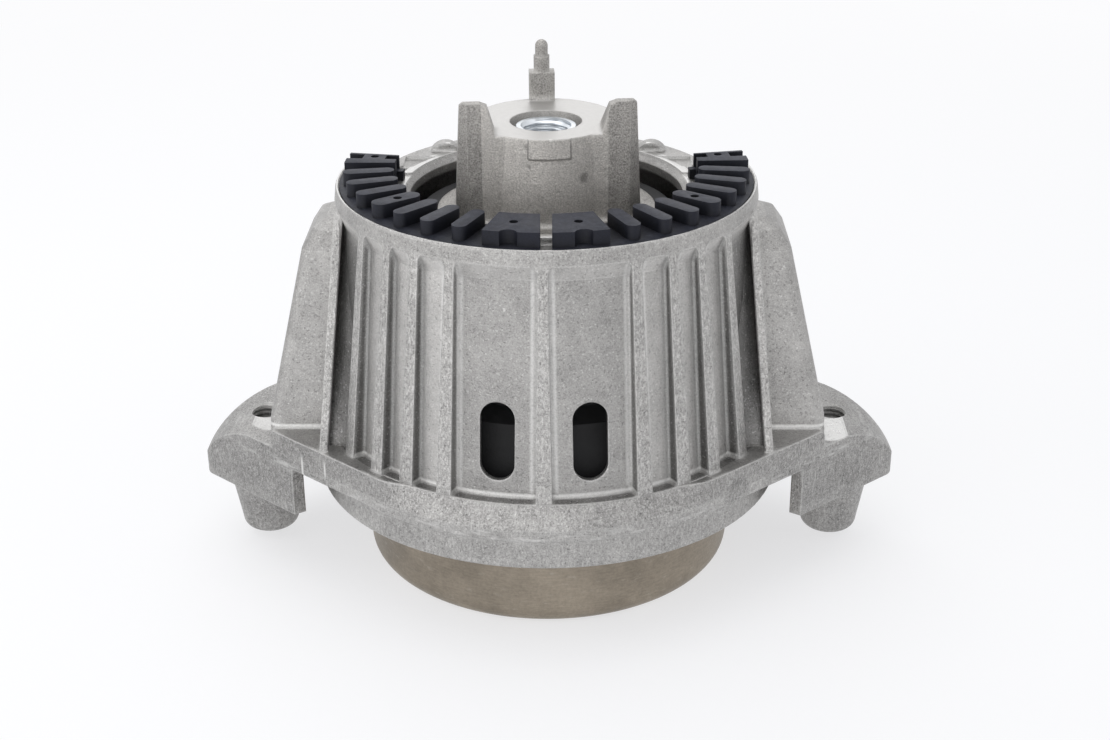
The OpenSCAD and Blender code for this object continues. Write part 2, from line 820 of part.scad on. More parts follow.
module ring_base() {
    intersection() {
        turned([[ring_in_r, seat_of_ring_z], [seat_out_r - ring_fit, seat_of_ring_z],
            [ring_out_r, rim_z - rim_ease], [ring_out_r, rim_z - base_edge],
            [ring_out_r - base_slope_w, base_z],
            [ring_in_r, base_z]]);
        linear_extrude(height = far) sector(1, far / 2, 0, base_end_angle);
    }
    translate([0, 0, collar_z + ring_fit]) linear_extrude(height = base_z - collar_z - ring_fit)
        sector(ring_in_r - nib_w, ring_in_r + eps, nib_from_angle, nib_to_angle);
}

// Plan of all the blocks on one half of the ring
module block_plan() {
    for (i = [0 : block_count - 1]) rotate(block_start + i * block_step)
        stop_block(i == wide_block ? block_w + wide_by : block_w);
    difference() {
        sector(ring_in_r, block_out_r, 0, front_block_angle);
        rotate(front_pip_angle) translate([0, -block_out_r - notch_out]) circle(r = notch_r);
    }
    sector(ring_in_r, block_out_r, end_block_angle, end_block_angle + end_block_span);
    sector(pip_ring_r - end_tail_w / 2, pip_ring_r + end_tail_w / 2, end_block_angle, ring_end_angle);
    sector(ring_in_r, block_out_r, end_wall_angle, ring_end_angle);
}

module stop_ring_half() {
    difference() {
        union() {
            ring_base();
            translate([0, 0, base_z - 1]) linear_extrude(height = block_z - base_z + 1) block_plan();
        }
        translate([front_gap - far, -far, 0]) cube(far);
        pip(front_pip_angle);
        pip(block_start + wide_block * block_step);
        pip(rear_pip_angle);
    }
}

module stop_ring_right() {
    color([0.24, 0.25, 0.29]) rotate([0, 0, ring_turn]) stop_ring_half();
}

module stop_ring_left() {
    color([0.24, 0.25, 0.29]) rotate([0, 0, ring_turn]) mirror([1, 0, 0]) stop_ring_half();
}

module ports() {
    translate([0, 0, diaphragm_top_z - 1]) {
        cylinder(r = port_r, h = far);
        for (i = [1 : port_count]) rotate([0, 0, i * 360 / port_count]) translate([port_ring_r, 0, 0])
            cylinder(r = port_r, h = far);
    }
}

module pocket() {
    translate([0, 0, plate_split_z - pocket_h / 2]) cylinder(r = pocket_r, h = pocket_h);
}

// The ring channel with its one opening upwards
module channel() {
    turned([[channel_r - channel_w / 2, plate_split_z - eps], [channel_r + channel_w / 2,
        plate_split_z - eps],
        [channel_r + channel_w / 2, plate_split_z + channel_d],
        [channel_r - channel_w / 2, plate_split_z + channel_d]]);
    translate([channel_r, 0, plate_split_z]) cylinder(r = port_r, h = far);
}

module channel_plate_upper() {
    color([0.66, 0.67, 0.68]) difference() {
        translate([0, 0, plate_split_z]) cylinder(r = plate_r, h = upper_plate_t);
        ports();
        pocket();
        channel();
    }
}

module channel_plate_lower() {
    color([0.62, 0.63, 0.64]) difference() {
        translate([0, 0, diaphragm_top_z]) cylinder(r = plate_r, h = lower_plate_t);
        ports();
        pocket();
        translate([-channel_r, 0, diaphragm_top_z - 1]) cylinder(r = port_r, h = far);
    }
}

// Lies on the floor of its pocket
module decoupler() {
    color([0.15, 0.15, 0.16]) translate([0, 0, plate_split_z - pocket_h / 2])
        cylinder(r = decoupler_r, h = decoupler_t);
}

// Thin rubber wall that hangs into the pan from its clamped rim
module diaphragm() {
    hang_z = clamp_top_z - fold_rise;
    in_r = roll_r - diaphragm_t;
    mid_r = fold_r - fold_w;
    color([0.14, 0.14, 0.15]) turned([[0, fold_low_z + fold_rise], [mid_r, fold_low_z],
        [fold_r, fold_low_z + 1],
        [roll_r, hang_z], [roll_r, clamp_top_z], [plate_r, clamp_top_z], [plate_r, diaphragm_top_z],
        [in_r, diaphragm_top_z], [in_r, hang_z], [fold_r - 1, fold_low_z + 1 + diaphragm_t],
        [mid_r, fold_low_z + diaphragm_t], [0, fold_low_z + fold_rise + diaphragm_t]]);
}

module diaphragm_ring() {
    in_r = roll_r + pan_play;
    color([0.5, 0.51, 0.53]) turned([[in_r, pan_rim_z], [plate_r, pan_rim_z], [plate_r, clamp_top_z],
        [in_r, clamp_top_z]]);
}

// Half of the pan's outline, at the given distance inside its outer face
module pan_outline(inset) {
    middle_r = pan_r - pan_round;
    translate([middle_r, pan_round]) circle(r = pan_round - inset);
    polygon([[0, inset], [middle_r, inset], [middle_r, pan_round], [pan_r - inset, pan_round],
        [pan_r - inset, pan_rim_z + inset], [0, pan_rim_z + inset]]);
}

module pan() {
    color([0.5, 0.47, 0.42]) rotate_extrude() intersection() {
        union() {
            difference() {
                pan_outline(0);
                pan_outline(pan_t);
            }
            translate([pan_r - pan_t, rim_seat_z]) square([bore_r - pan_r + pan_t, pan_t]);
        }
        square([far, pan_rim_z]);
    }
}

housing();
inner_core();
core_bush();
main_spring();
spring_ring();
stop_ring_left();
stop_ring_right();
channel_plate_upper();
channel_plate_lower();
decoupler();
diaphragm();
diaphragm_ring();
pan();
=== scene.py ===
"""Looks of a cast hydraulic engine mount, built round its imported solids."""

import json
import math

import bmesh
import bpy
from mathutils import Matrix, Vector


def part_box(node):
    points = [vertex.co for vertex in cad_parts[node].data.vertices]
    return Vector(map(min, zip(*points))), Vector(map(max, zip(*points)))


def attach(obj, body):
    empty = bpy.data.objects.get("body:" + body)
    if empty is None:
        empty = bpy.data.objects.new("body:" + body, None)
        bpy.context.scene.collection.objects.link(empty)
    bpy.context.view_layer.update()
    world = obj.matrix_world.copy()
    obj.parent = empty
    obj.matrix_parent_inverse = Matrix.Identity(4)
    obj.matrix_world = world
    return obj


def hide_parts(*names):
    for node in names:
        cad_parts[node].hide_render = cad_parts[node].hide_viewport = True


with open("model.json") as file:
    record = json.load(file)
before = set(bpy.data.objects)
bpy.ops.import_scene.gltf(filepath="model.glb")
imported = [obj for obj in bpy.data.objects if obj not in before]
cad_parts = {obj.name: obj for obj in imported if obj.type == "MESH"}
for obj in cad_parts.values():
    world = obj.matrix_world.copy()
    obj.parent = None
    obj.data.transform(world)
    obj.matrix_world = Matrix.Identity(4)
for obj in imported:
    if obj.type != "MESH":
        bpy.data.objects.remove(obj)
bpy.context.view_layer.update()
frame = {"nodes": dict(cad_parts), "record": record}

bl_info = {
    "name": "Engine Mount Looks",
    "version": (1, 1, 0),
    "blender": (4, 5, 0),
    "location": "View3D > Sidebar > Engine Mount",
    "description": "Finishes, threads and studio for a cast hydraulic engine mount",
    "category": "Object",
}

MM = 0.001
BODY = "root"
NODES = frame["nodes"]

SIDES = ((-1, "left"), (1, "right"))

# Sizes of the solids that the finishes and the added pieces follow, in millimetres
RIM_Z = 113.0
RIM_IN_R = 57.0
COLLAR_Z = 110.4
COLLAR_OUT_R = 42.5
BAND_Z = 109.0
WALL_LOW_R = 62.8
WALL_LEAN = 0.0932
FLANGE_R = 69.0
FLANGE_TOP_R = 66.3
FLANGE_TOP_Z = 45.5
FLANGE_BAND_Z = 39.0
FLANGE_LOW_Z = 35.8
RIB_ANGLES = [math.radians(a) for a in (0.0, 23.6, 34.0, 43.5, 54.6)]
LAST_RIB_ANGLE = math.radians(56.8)
RIB_TOP_R = 58.9
RIB_LEAN = 0.1178
RIB_TOP_HALF_W = 1.3
RIB_WIDENING = 0.0134
FIN_LOW_X = 60.3
FIN_LOW_Y = 36.5
FIN_LEAN_X = 0.0882
FIN_LEAN_Y = 0.2835
FIN_THICK = 2.7
EAR_ANGLE = math.radians(40.96)
EAR_R = 68.85
EAR_FROM_X = 64.0
EAR_LOW_Z = 24.0
EAR_HOLE_X = 83.7
EAR_HOLE_R = 4.25
EAR_HOLE_DEPTH = 26.0
SEAT_Z = 40.1
SEAT_IN_X = 76.0
SEAT_OUT_X = 86.5
SEAT_BOW_X = 81.0
CORE_TOP_Z = 129.0
CORE_TURN = math.radians(4.0)
NECK_HALF_W = 17.0
PAD_X = 5.75
PAD_LOW_Z = 123.4
RECESS_R = 11.5
RECESS_LOW_Z = 112.0
BUSH_BORE_R = 6.2
BUSH_EASE = 0.8

# Single marks on the castings: middle, reach and soft edge in millimetres
FLANGE_STAIN = ((52.2, -45.2, 37.9), 5.5, 2.2)
BUTTRESS_GRIME = ((65.0, -24.0, 62.0), 12.0, 9.0)
SIDE_STAIN = ((10.4, -15.2, 117.6), 1.8, 0.9)
TOP_STAIN = ((-4.8, -17.1, 127.0), 1.1, 0.9)
DING = ((1.6, -17.5, 128.9), 0.8, 0.3)

# Colours of bare metal, rubber and dust, some also used for painted highlights and painted top
# light
NICK_AND_HIGHLIGHT_WHITE = (0.80, 0.795, 0.78)
TURNED_ALLOY = (0.76, 0.755, 0.74)
# The worn colours also serve as painted highlights in inner corners
WORN_AND_HIGHLIT_ALLOY = (0.68, 0.675, 0.66)
WORN_AND_HIGHLIT_CORE = (0.62, 0.605, 0.58)
TURNED_CORE = (0.53, 0.52, 0.505)
WORN_PAN = (0.42, 0.39, 0.34)
BRIGHT_STEEL = (0.68, 0.71, 0.74)
PLAIN_STEEL = (0.42, 0.43, 0.45)
PLATE_ALLOY = (0.5, 0.5, 0.5)
RUBBER = (0.014, 0.014, 0.015)
DARK_RUBBER = (0.008, 0.008, 0.009)
BLOOMED_RUBBER = (0.026, 0.026, 0.028)
# The ring's dust colour also serves as painted light on its tops
RING_DUST_AND_TOP_LIGHT = (0.063, 0.068, 0.091)

# The photo's camera: its distance, how far below the rim it aims and its picture's shift sideways
CAMERA_AWAY = 500.0
AIM_BELOW_RIM = 59.42
PICTURE_SHIFT = 7.2 / 1110


# ---------------------------------------------------------------- shader expressions


class Signal:
    """A number that varies over the surface and can be used in plain arithmetic."""

    def __init__(self, nodes, socket):
        self.nodes = nodes
        self.socket = socket

    def _maths(self, operation, *values):
        node = self.nodes.node("Math", {"operation": operation}, dict(enumerate(values)))
        return Signal(self.nodes, node.outputs[0])

    def __add__(self, other):
        return self._maths("ADD", self, other)

    def __sub__(self, other):
        return self._maths("SUBTRACT", self, other)

    def __mul__(self, other):
        return self._maths("MULTIPLY", self, other)

    def __truediv__(self, other):
        return self._maths("DIVIDE", self, other)

    def __gt__(self, other):
        return self._maths("GREATER_THAN", self, other)

    def __lt__(self, other):
        return self._maths("LESS_THAN", self, other)

    def __radd__(self, other):
        return self._maths("ADD", other, self)

    def __rsub__(self, other):
        return self._maths("SUBTRACT", other, self)

    def __abs__(self):
        return self._maths("ABSOLUTE", self)

    def least(self, *others):
        """The smallest of this number and the others."""
        result = self
        for other in others:
            result = self._maths("MINIMUM", result, other)
        return result

    def most(self, *others):
        """The largest of this number and the others."""
        result = self
        for other in others:
            result = self._maths("MAXIMUM", result, other)
        return result


class Nodes:
    """A node tree that is laid by one method."""

    def __init__(self, tree):
        self.tree = tree
        tree.nodes.clear()

    def node(self, kind, settings=None, inputs=None):
        """Adds a node, sets it up and feeds its sockets with numbers, colours or links."""
        made = self.tree.nodes.new("ShaderNode" + kind)
        for key, value in (settings or {}).items():
            setattr(made, key, value)
        for key, value in (inputs or {}).items():
            self.feed(made.inputs[key], value)
        return made

    def feed(self, socket, value):
        """Links a socket to a signal or another socket, or sets it to a number or a colour."""
        if isinstance(value, Signal):
            value = value.socket
        if isinstance(value, bpy.types.NodeSocket):
            self.tree.links.new(value, socket)
        elif isinstance(value, tuple) and socket.type == "RGBA":
            socket.default_value = (*value, 1.0)
        else:
            socket.default_value = value

    def seen(self):
        """1 for what the camera, a reflection or glass sees, 0 for light that only falls."""
        path = self.node("LightPath")
        seen, *others = [Signal(self, path.outputs[name])
                         for name in ("Is Camera Ray", "Is Glossy Ray", "Is Transmission Ray")]
        return seen.most(*others)


class Finish(Nodes):
    """One procedural material while its nodes are being laid."""

    def __init__(self, name, colour):
        self.material = bpy.data.materials.new(name)
        self.material.use_nodes = True
        self.material.diffuse_color = (*colour, 1.0)
        super().__init__(self.material.node_tree)
        self.output = self.node("OutputMaterial")
        self.shader = self.node("BsdfPrincipled")
        self.feed(self.output.inputs["Surface"], self.shader.outputs[0])

    def set(self, **sockets):
        """Feeds the main shader's sockets, named with underscores for spaces."""
        for key, value in sockets.items():
            self.feed(self.shader.inputs[key.replace("_", " ")], value)

    def place(self):
        """Where the point lies on the mount, in millimetres."""
        return self.stretched(self.node("TexCoord").outputs["Object"], (1 / MM, 1 / MM, 1 / MM))

    def axes(self, vector):
        """A vector's three parts."""
        split = self.node("SeparateXYZ", inputs={0: vector})
        return [Signal(self, split.outputs[i]) for i in range(3)]

    def joined(self, x, y, z):
        """The vector with the given parts."""
        return self.node("CombineXYZ", inputs={0: x, 1: y, 2: z}).outputs[0]

    def stretched(self, vector, scale):
        """A vector with each part times its own number."""
        return self.node("VectorMath", {"operation": "MULTIPLY"}, {0: vector, 1: scale}).outputs[0]

    def polar(self, place):
        """Distance from the mount's axis, angle round it and height."""
        x, y, z = self.axes(place)
        length = self.node("VectorMath", {"operation": "LENGTH"}, {0: self.joined(x, y, 0.0)})
        angle = self.node("Math", {"operation": "ARCTAN2"}, {0: y, 1: x})
        return Signal(self, length.outputs["Value"]), Signal(self, angle.outputs[0]), z

    def noise(self, place, size, detail=2.0, roughness=0.5, distortion=0.0):
        """Cloudy noise whose features are about the given size in millimetres, from 0 to 1."""
        made = self.node("TexNoise", {}, {"Vector": place, "Scale": 1.0 / size, "Detail": detail,
                                          "Roughness": roughness, "Distortion": distortion})
        return Signal(self, made.outputs["Fac"])

    def cells(self, place, size):
        """Distance from the nearest of many scattered points, in parts of the given size."""
        made = self.node("TexVoronoi", {"feature": "F1"}, {"Vector": place, "Scale": 1.0 / size})
        return Signal(self, made.outputs["Distance"])

    def ramp(self, value, low, high):
        """Maps low..high of a value to 0..1 and holds it there."""
        limits = {"From Min": low, "From Max": high, "To Min": 0.0, "To Max": 1.0}
        made = self.node("MapRange", {"clamp": True}, {"Value": value, **limits})
        return Signal(self, made.outputs[0])

    def spot(self, place, centre, reach, edge):
        """1 round a point of the mount, fading out raggedly over the given edge."""
        gap = self.node("VectorMath", {"operation": "DISTANCE"}, {0: place, 1: centre})
        fringe = (self.noise(place, reach, detail=4.0, roughness=0.8) - 0.5) * reach
        return self.ramp(Signal(self, gap.outputs["Value"]) + fringe, reach, reach - edge)

    def hairlines(self, place, size, width, share):
        """Thin crooked lines of the given size, kept only in a share of the places."""
        swirl = self.noise(place, size, detail=1.0, distortion=0.5)
        where = self.noise(place, size * 1.3, detail=1.0)
        kept = self.ramp(where, 1.0 - share, 1.04 - share)
        return self.ramp(abs(swirl - 0.5), width, width * 0.2) * kept

    def specks(self, place, size, reach, share):
        """Scattered round specks, kept only in a share of the places."""
        where = self.noise(place, size * 2.7, detail=2.0)
        kept = self.ramp(where, 1.0 - share, 1.05 - share)
        return self.ramp(self.cells(place, size), reach, reach * 0.4) * kept

    def blend(self, first, second, share):
        """Mixes two colours."""
        made = self.node("Mix", {"data_type": "RGBA"}, {0: share, 6: first, 7: second})
        return made.outputs[2]

    def shaded(self, colour, amount):
        """Scales a colour by a varying amount."""
        made = self.node("VectorMath", {"operation": "SCALE"}, {0: colour, "Scale": amount})
        return made.outputs[0]

    def normal(self):
        """The surface's direction."""
        return self.node("NewGeometry").outputs["Normal"]

    def eased(self, crest, corner, openness):
        """The surface's direction once crests and corners are rounded to radii in metres."""
        crests, corners = (self.node("Bevel", {"samples": 6}, {"Radius": radius}).outputs[0]
                           for radius in (crest, corner))
        in_corner = self.ramp(openness, 0.97, 0.80)
        made = self.node("Mix", {"data_type": "VECTOR"}, {0: in_corner, 4: crests, 5: corners})
        return made.outputs[1]

    def edges(self, eased):
        """1 on crests and in corners, 0 on the flats, from an eased direction."""
        made = self.node("VectorMath", {"operation": "DOT_PRODUCT"}, {0: eased, 1: self.normal()})
        return self.ramp(Signal(self, made.outputs["Value"]), 0.998, 0.86)

    def openness(self, reach):
        """1 in the open, less where other surfaces crowd in within a reach in millimetres."""
        made = self.node("AmbientOcclusion", {"samples": 6}, {"Distance": reach * MM})
        return Signal(self, made.outputs["AO"])

    def relief(self, height, depth, base=None):
        """Raises the surface by a varying height of 0 to 1 times the depth in millimetres."""
        inputs = {"Height": height, "Distance": depth * MM, "Strength": 1.0}
        if base:
            inputs["Normal"] = base
        made = self.node("Bump", {}, inputs)
        self.feed(self.shader.inputs["Normal"], made.outputs[0])


def colour_of(setting):
    """A colour setting as three plain numbers."""
    return tuple(setting)


# ---------------------------------------------------------------- finishes


def cast_housing_finish(look):
    """Shot-blasted aluminium casting with rubbed ribs, a few turned faces, and painted light,
    shade and highlights.
    """
    colour = colour_of(look.housing_colour)
    f = Finish("cast_housing", colour)
    place = f.place()
    x, y, z = f.axes(place)
    sideways = abs(x)
    radius = f.polar(place)[0]
    facing_x, facing_y, up = f.axes(f.normal())
    facing_out = (facing_x * x + facing_y * y) / radius
    open_air = f.openness(5.0)
    eased = f.eased(look.crest_radius, look.corner_radius, open_air)
    edges = f.edges(eased)

    grit = f.noise(place, 0.40, detail=2.0, roughness=0.6)
    pebbles = f.noise(place, 1.3, detail=3.0, roughness=0.6)
    blotches = f.noise(place, 6.0, detail=4.0, roughness=0.65, distortion=0.4)
    clouds = f.noise(place, 21.0, detail=3.0, roughness=0.55, distortion=0.5)
    lines = f.hairlines(place, 6.5, 0.007, 0.30) * look.nicks
    glints = f.ramp(f.noise(place, 0.6, detail=1.0), 0.64, 0.72)
    specks = f.specks(place, 1.7, 0.18, 0.55) * look.nicks
    pits = f.ramp(f.noise(place, 0.75, detail=1.0), 0.39, 0.30)

    # Where the ribs stand, and the groove between the last rib and the fin
    front = y < 0.0
    wall = (z > FLANGE_TOP_Z + 0.3) * (z < BAND_Z + 0.5) * (up < 0.5)
    below_band = BAND_Z - z
    on_rib = f.ramp(radius - below_band * RIB_LEAN, RIB_TOP_R - 0.5, RIB_TOP_R - 0.2)
    offsets = [sideways * math.cos(a) + y * math.sin(a) for a in RIB_ANGLES]
    middle, *others = [abs(offset) for offset in offsets]
    half_width = RIB_TOP_HALF_W + below_band * RIB_WIDENING
    fin_side = FIN_LOW_X - (z - FLANGE_TOP_Z) * FIN_LEAN_X
    inside_fin = (sideways < fin_side + 0.3) * front
    groove_fade = f.ramp(below_band, 1.5, 7.0)
    last_groove = (offsets[-1] > half_width + 0.1) * inside_fin * wall * groove_fade
    rib_side = f.ramp(facing_out, 0.62, 0.25) * inside_fin * wall

    # Rubbed and rough: the faces of the ribs and the foot of the flange
    rib_fade = f.ramp(below_band, -1.0, 2.0)
    in_front = wall * front * (sideways < fin_side + FIN_THICK)
    rib_face = on_rib * in_front * (1.0 - last_groove) * rib_fade
    band = (1.0 - rib_fade) * (up < 0.5)
    skirt = z < FLANGE_TOP_Z - 0.2
    rough = rib_face.most(skirt * 0.6, band * 0.35)
    scuffed = f.noise(f.stretched(place, (1.0, 1.0, 0.42)), 0.65, detail=3.0, roughness=0.8)
    scuffs = f.ramp(scuffed, 0.53, 0.62) * rough
    rubbed = f.noise(f.stretched(place, (0.4, 0.4, 2.2)), 3.2, detail=4.0, roughness=0.75)
    foot = f.ramp(abs(z - (FLANGE_LOW_Z + 1.0)), 3.4, 0.6) * f.ramp(rubbed, 0.50, 0.66)
    long_sliver = f.ramp(abs(x + 68.5), 0.5, 0.1) * f.ramp(abs(z - 38.0), 4.8, 2.0)
    short_sliver = f.ramp(abs(x + 61.2), 0.4, 0.1) * f.ramp(abs(z - 40.5), 3.4, 1.2)
    slivers = long_sliver.most(short_sliver) * front * skirt

    # The grooves' inner sides lie in shade, their floors and fillets catch the light
    shades = []
    for offset in offsets[2:]:
        gap = offset + half_width
        shades.append(f.ramp(gap, -1.9, -0.4) * (gap < 0.2))
    shade = shades[0].most(*shades[1:]) * wall * front * (1.0 - on_rib)
    groove_floor = wall * f.ramp(facing_out, 0.7, 0.9) * (1.0 - on_rib) * (1.0 - last_groove)
    crowded = f.ramp(open_air, 0.9, 0.6) * groove_floor
    lit_floor = groove_floor * front * (1.0 - shade)
    outer_floor = lit_floor * (offsets[1] > 0.0)
    side_line = f.ramp(abs(middle.least(*others) - half_width - 1.2), 0.7, 0.15) * lit_floor
    foot_line = (f.ramp(abs(z - FLANGE_TOP_Z - 0.85), 0.6, 0.2) * wall * (1.0 - rib_face)
                 * (1.0 - last_groove))
    under_band = f.ramp(up, -0.08, -0.3) * (below_band < 12.0) * (below_band > -0.5)
    ledge = (up > 0.9) * (abs(z - FLANGE_TOP_Z) < 0.3) * (radius < FLANGE_TOP_R - 0.4)

    # Turned faces: the rim, the collar and the bowed seats in front of the ear holes
    level = up > 0.95
    rim = level * (radius > RIM_IN_R) * (z > RIM_Z - 4.0)
    collar = level * (radius < COLLAR_OUT_R) * (z > COLLAR_Z - 3.4)
    from_bow = sideways - SEAT_BOW_X
    seat_end = f.ramp(y + x * 0.0388 - from_bow * from_bow * 0.12, -16.2, -15.2)
    seat = (level * (sideways > SEAT_IN_X) * (sideways < SEAT_OUT_X) * (abs(z - SEAT_Z) < 0.3)
            * f.ramp(y, 1.0, -2.5) * seat_end * (0.62 + (x > 0.0) * 0.38))
    turned = rim.most(seat, collar * 0.7)

    # Painted light and shade over the casting, before the nicks, the painted highlights and the
    # worn edges; the stain and the grime are marks of their own
    ear = (sideways > EAR_FROM_X) * skirt * (z > EAR_LOW_Z)
    buttress = (sideways > fin_side + FIN_THICK) * wall
    low_skirt = (z < FLANGE_BAND_Z) * (sideways < 60.0)
    stain = f.spot(place, *FLANGE_STAIN)
    grime = f.spot(place, *BUTTRESS_GRIME) * front
    texture = ((clouds - 0.5) * 0.44 + (blotches - 0.5) * 0.56 + (pebbles - 0.5) * 0.36
               + (grit - 0.5) * (0.95 + rough * 0.5) + (scuffed - 0.5) * rough * 1.4 - pits * 0.24)
    # Painted light on the rib faces, the band, the low skirt, the buttresses, the crowded groove
    # floors, the outer groove floors (more on the left) and the faces under the band
    painted_light = (rib_face * 0.14 + band * 0.06 + low_skirt * 0.16 + buttress * 0.09 + crowded * 0.2
               + outer_floor * (0.24 + (x < 0.0) * 0.14) + under_band * 0.4)
    # Painted shade on the ledge at the flange's top, the skirt and the ears a little darker, and
    # the stain and the grime
    stains_and_painted_shade = skirt * 0.06 + ear * 0.08 + ledge * 0.35 + stain * 0.25 + grime * 0.16
    # Painted shade on the ribs' sides, in the groove by the fin and on the grooves' inner sides
    shaded = (rib_side * 0.36).most(last_groove * 0.34, shade * 0.45)
    skin = f.shaded(colour, (1.0 + texture + painted_light - stains_and_painted_shade) * (1.0 - shaded))

    # Nicks, specks, scuffs, the rubbed foot and the flash slivers, with painted glints and painted
    # highlights along the groove floors' fillets and at the walls' feet
    nicks = (lines * 0.55).most(
        specks * 0.5, glints * 0.3, scuffs * 0.26, foot * 0.42, slivers * 0.75,
        side_line * (0.3 + grit * 0.3), foot_line * (0.45 + grit * 0.4))
    nicked_and_highlit = f.blend(skin, NICK_AND_HIGHLIGHT_WHITE, nicks)
    # Worn crests, and painted highlights in the inner corners
    worn_and_highlit = f.blend(nicked_and_highlit, WORN_AND_HIGHLIT_ALLOY, edges * (0.25 + grit * 0.6) * (1.0 - last_groove))
    f.set(Base_Color=f.blend(worn_and_highlit, TURNED_ALLOY, turned * 0.8), Metallic=0.82,
          Roughness=0.44 + (pebbles - 0.5) * 0.2 - lines * 0.1 - turned * 0.14)
    height = (grit * (0.25 + rough * 0.4) + pebbles * 0.25 + scuffed * rough * 0.7 - pits * 0.2
              + lines * 0.2)
    f.relief(height, 0.22, eased)
    return f.material


def cast_core_finish(look):
    """Bronze-grey casting with a turned top, a few stains, painted shade along the pad's edges and
    in the recess, and painted light and shade on the neck.
    """
    colour = colour_of(look.core_colour)
    f = Finish("cast_core", colour)
    place = f.place()
    x, y, z = f.axes(place)
    radius = f.polar(place)[0]
    up = f.axes(f.normal())[2]
    eased = f.eased(look.crest_radius, look.corner_radius * 1.6, f.openness(6.0))
    edges = f.edges(eased)

    grit = f.noise(place, 0.42, detail=2.0, roughness=0.6)
    pebbles = f.noise(place, 1.7, detail=3.0, roughness=0.6)
    clouds = f.noise(place, 15.0, detail=4.0, roughness=0.6, distortion=0.8)
    flow = f.noise(f.stretched(place, (1.0, 1.0, 0.07)), 2.2, detail=3.0)
    cloudy_stains = f.ramp(f.noise(place, 6.0, detail=2.0, roughness=0.7), 0.68, 0.82)
    stains = cloudy_stains.most(f.spot(place, *SIDE_STAIN), f.spot(place, *TOP_STAIN))
    specks = f.specks(place, 2.2, 0.17, 0.48) * look.nicks
    lathe = f.noise(f.joined(radius, 0.0, 0.0), 0.5, detail=2.0)

    top = (up > 0.95) * (abs(z - CORE_TOP_Z) < 0.4)
    off_pad = abs(x * math.cos(CORE_TURN) + y * math.sin(CORE_TURN))
    # Painted shade along the pad's sides and its lower edge
    side_line = f.ramp(abs(off_pad - PAD_X), 0.32, 0.1) * (z > PAD_LOW_Z)
    low_line = f.ramp(abs(z - PAD_LOW_Z), 0.32, 0.1) * (off_pad < PAD_X)
    pad_edge_shade = side_line.most(low_line) * (y < -10.0) * (1.0 - top)
    ding = f.spot(place, *DING)
    # Painted shade in the recess round the bush
    recess_shade = (radius < RECESS_R) * (z < CORE_TOP_Z - 0.15) * (z > RECESS_LOW_Z)

    # Painted light on the front of the neck, most of all on its left and towards the top, less
    # towards its foot and its right
    neck = f.ramp(y, -9.0, -13.0) * (abs(x) < NECK_HALF_W) * (up < 0.5)
    neck_light_and_shade = (0.46 + f.ramp(x, 2.0, -8.0) * 0.10 - f.ramp(z, 112.0, 100.0) * 0.16
                 - f.ramp(x, 3.0, 11.0) * 0.08)
    tone = (1.0 + (clouds - 0.5) * 0.4 + (pebbles - 0.5) * 0.35 + (grit - 0.5) * 2.0
            + (flow - 0.5) * 0.2 + neck * neck_light_and_shade)
    skin = f.shaded(colour, tone)
    # Stains, with painted shade along the pad's edges and in the recess
    stained_and_shaded = f.blend(skin, f.shaded(skin, 0.42), (stains * 0.8).most(pad_edge_shade * 0.9, recess_shade))
    # Worn specks, crests and the ding, with painted highlights in the inner corners
    worn_and_highlit = f.blend(stained_and_shaded, WORN_AND_HIGHLIT_CORE, (specks * 0.5).most(edges * (0.3 + grit * 0.45), ding))
    f.set(Base_Color=f.blend(worn_and_highlit, f.shaded(TURNED_CORE, 0.9 + lathe * 0.2), top * (1.0 - ding)),
          Metallic=0.72, Roughness=0.46 + (pebbles - 0.5) * 0.2 - top * 0.06)
    f.relief((grit * 0.5 + pebbles * 0.4) * (1.0 - top * 0.9) + lathe * top * 0.25, 0.18, eased)
    return f.material


def bright_steel_finish():
    """Turned steel."""
    f = Finish("bright_steel", BRIGHT_STEEL)
    place = f.place()
    radius, _, z = f.polar(place)
    lathe = f.noise(f.joined(radius, z, 0.0), 0.3, detail=2.0)
    smears = f.noise(place, 3.0, detail=3.0)
    f.set(Base_Color=f.shaded(BRIGHT_STEEL, 0.85 + smears * 0.3), Metallic=1.0,
          Roughness=0.3 + lathe * 0.14)
    f.relief(lathe, 0.03)
    return f.material


def plain_steel_finish():
    """Smeared sheet steel of the inner rings."""
    f = Finish("plain_steel", PLAIN_STEEL)
    smears = f.noise(f.place(), 6.0, detail=4.0)
    f.set(Base_Color=f.shaded(PLAIN_STEEL, 0.8 + smears * 0.4), Metallic=1.0,
          Roughness=0.3 + smears * 0.25)
    f.relief(smears, 0.04)
    return f.material


def rubber_finish(name):
    """Black rubber with a faint bloom."""
    f = Finish(name, RUBBER)
    place = f.place()
    grain = f.noise(place, 0.6, detail=3.0)
    bloom = f.noise(place, 12.0, detail=4.0, roughness=0.6)
    f.set(Base_Color=f.blend(DARK_RUBBER, BLOOMED_RUBBER, f.ramp(bloom, 0.35, 0.75)),
          Roughness=0.6 + bloom * 0.2)
    f.relief(grain, 0.05)
    return f.material


